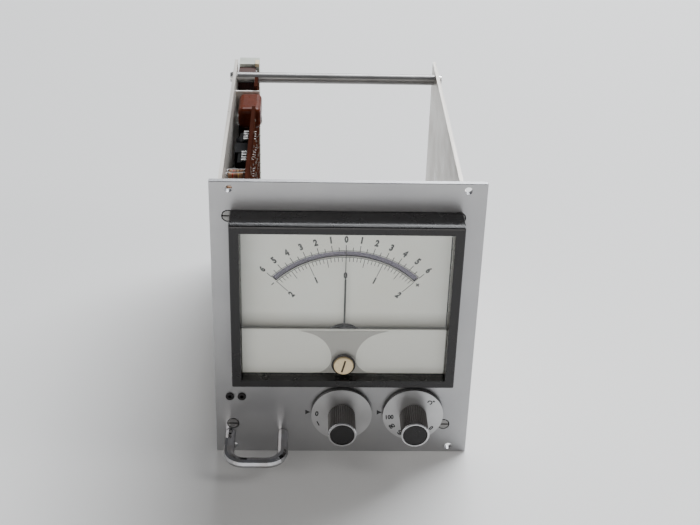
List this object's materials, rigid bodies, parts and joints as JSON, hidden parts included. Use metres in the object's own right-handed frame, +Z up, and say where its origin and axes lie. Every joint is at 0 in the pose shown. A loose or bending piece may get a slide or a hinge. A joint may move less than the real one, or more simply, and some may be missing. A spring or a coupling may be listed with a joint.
{
  "type": "ph meter",
  "caption": "Plug-in rack module of an analogue pH meter: framed moving-coil dial, fluted rotary knobs, bow handle, open chassis with circuit board.",
  "frame": {"origin": "bottom centre of the module's bounding box, level with the front panel's lower edge", "axes": "+X to the right of someone facing the dial, +Y from the dial to the rear connector, +Z up"},
  "size_m": [0.1062, 0.1934, 0.1284],
  "materials": {
    "anodised_aluminium": "satin anodised",
    "sheet_aluminium": "rolled sheet, lightly brushed",
    "bright_steel": "bright turned and plated",
    "chrome": "polished",
    "black_plastic": "glossy black moulding",
    "dark_enamel": "matt black enamel",
    "dial_white": "matt off-white, printed scale",
    "cover_grey": "matt light grey moulding",
    "mirror": "parallax mirror",
    "clear_glass": "clear flat window",
    "cream_plastic": "cream moulding",
    "grip_grey": "fluted dark grey moulding",
    "board_brown": "lacquered laminate",
    "phenolic_brown": "moulded phenolic",
    "capacitor_brown": "dipped lacquer",
    "capacitor_sleeve": "shrunk sleeve",
    "connector_grey": "light grey-green moulding",
    "magnet_grey": "ground iron and magnet",
    "copper": "enamelled winding"
  },
  "bodies": {
    "module": {"board_spacer_lower_front": "bright_steel", "board_spacer_lower_rear": "bright_steel", "board_spacer_upper_front": "bright_steel", "board_spacer_upper_rear": "bright_steel", "bow_handle": "chrome", "capacitor_bracket": "sheet_aluminium", "chip_1": "black_plastic", "chip_2": "black_plastic", "circuit_board": "board_brown", "connector_body": "phenolic_brown", "connector_shell": "connector_grey", "dial_plate": "dial_white", "electrolytic_1": "capacitor_sleeve", "electrolytic_2": "capacitor_sleeve", "film_capacitor": "capacitor_brown", "front_bridge": "dark_enamel", "front_panel": "anodised_aluminium", "handle_screw_left": "bright_steel", "handle_screw_right": "bright_steel", "lower_cover": "cover_grey", "magnet_system": "magnet_grey", "meter_base": "black_plastic", "meter_bezel": "black_plastic", "meter_case": "black_plastic", "meter_nut_lower_left": "bright_steel", "meter_nut_lower_right": "bright_steel", "meter_nut_upper_left": "bright_steel", "meter_nut_upper_right": "bright_steel", "meter_window": "clear_glass", "mirror_strip": "mirror", "panel_screw_lower_left": "bright_steel", "panel_screw_lower_right": "bright_steel", "panel_screw_upper_left": "bright_steel", "panel_screw_upper_right": "bright_steel", "potentiometer": "bright_steel", "reed_relay": "black_plastic", "rod_screw_lower_left": "bright_steel", "rod_screw_lower_right": "bright_steel", "rod_screw_upper_left": "bright_steel", "rod_screw_upper_right": "bright_steel", "rotary_switch": "black_plastic", "side_plate_left": "sheet_aluminium", "side_plate_right": "sheet_aluminium", "test_socket_left": "black_plastic", "test_socket_right": "black_plastic", "tie_rod_lower": "sheet_aluminium", "tie_rod_upper": "sheet_aluminium"},
    "pointer_assembly": {"pointer": "dark_enamel", "moving_coil": "copper"},
    "zero_adjuster": {"zero_screw": "cream_plastic"},
    "function_knob": {"knob_disc_left": "anodised_aluminium", "knob_grip_left": "grip_grey", "knob_ring_left": "bright_steel", "knob_cap_left": "black_plastic", "knob_shaft_left": "bright_steel"},
    "temperature_knob": {"knob_disc_right": "anodised_aluminium", "knob_grip_right": "grip_grey", "knob_ring_right": "bright_steel", "knob_cap_right": "black_plastic", "knob_shaft_right": "bright_steel"}
  },
  "joints": [
    {"name": "pointer_swing", "type": "hinge", "parent": "module", "child": "pointer_assembly", "pos_m": [-0.0005, -0.07963, 0.0599], "axis": [0, 1, 0], "range_deg": [-47, 47], "stiffness_Nm_per_rad": 0.0002},
    {"name": "zero_screw_turn", "type": "hinge", "parent": "module", "child": "zero_adjuster", "pos_m": [-0.0005, -0.08332, 0.051], "axis": [0, 1, 0], "range_deg": [-90, 90]},
    {"name": "function_knob_turn", "type": "hinge", "parent": "module", "child": "function_knob", "pos_m": [-0.0005, -0.08232, 0.0211], "axis": [0, 1, 0], "range_deg": [0, 27]},
    {"name": "temperature_knob_turn", "type": "hinge", "parent": "module", "child": "temperature_knob", "pos_m": [0.0295, -0.08232, 0.0211], "axis": [0, 1, 0], "range_deg": [-10, 145]}
  ]
}
